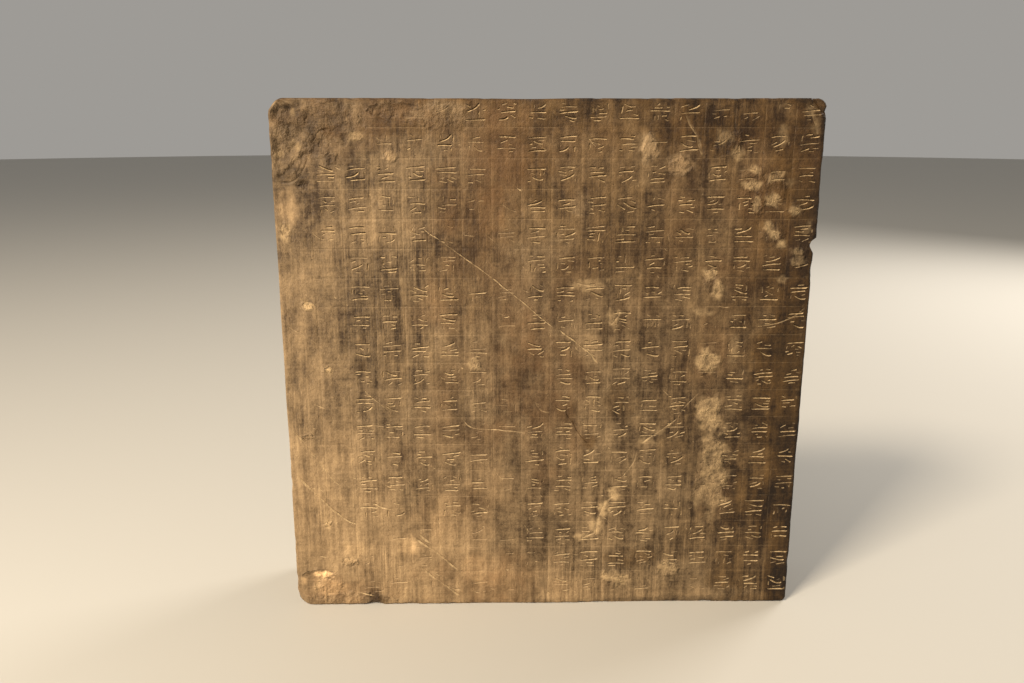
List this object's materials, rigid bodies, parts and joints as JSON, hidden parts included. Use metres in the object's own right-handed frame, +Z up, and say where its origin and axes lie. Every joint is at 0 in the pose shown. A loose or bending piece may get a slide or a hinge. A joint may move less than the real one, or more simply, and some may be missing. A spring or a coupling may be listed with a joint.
{
  "type": "inscribed stone slab stele",
  "caption": "Thick, nearly square upright stone slab with a worn grid of shallow carved strokes on its face and a furrowed back; stands on its flat underside.",
  "frame": {"origin": "middle of the underside's footprint, on the surface the slab stands on", "axes": "+Z up; -Y out of the inscribed face, so +Y runs through the thickness to the back; +X to the right seen from the front"},
  "size_m": [0.49, 0.09, 0.489],
  "materials": {
    "stone": "dark grey-brown limestone, rubbed smooth on the face, with pale worn strokes, buff pits and brown stains"
  },
  "bodies": {
    "root": {"tablet": "stone"}
  },
  "joints": []
}
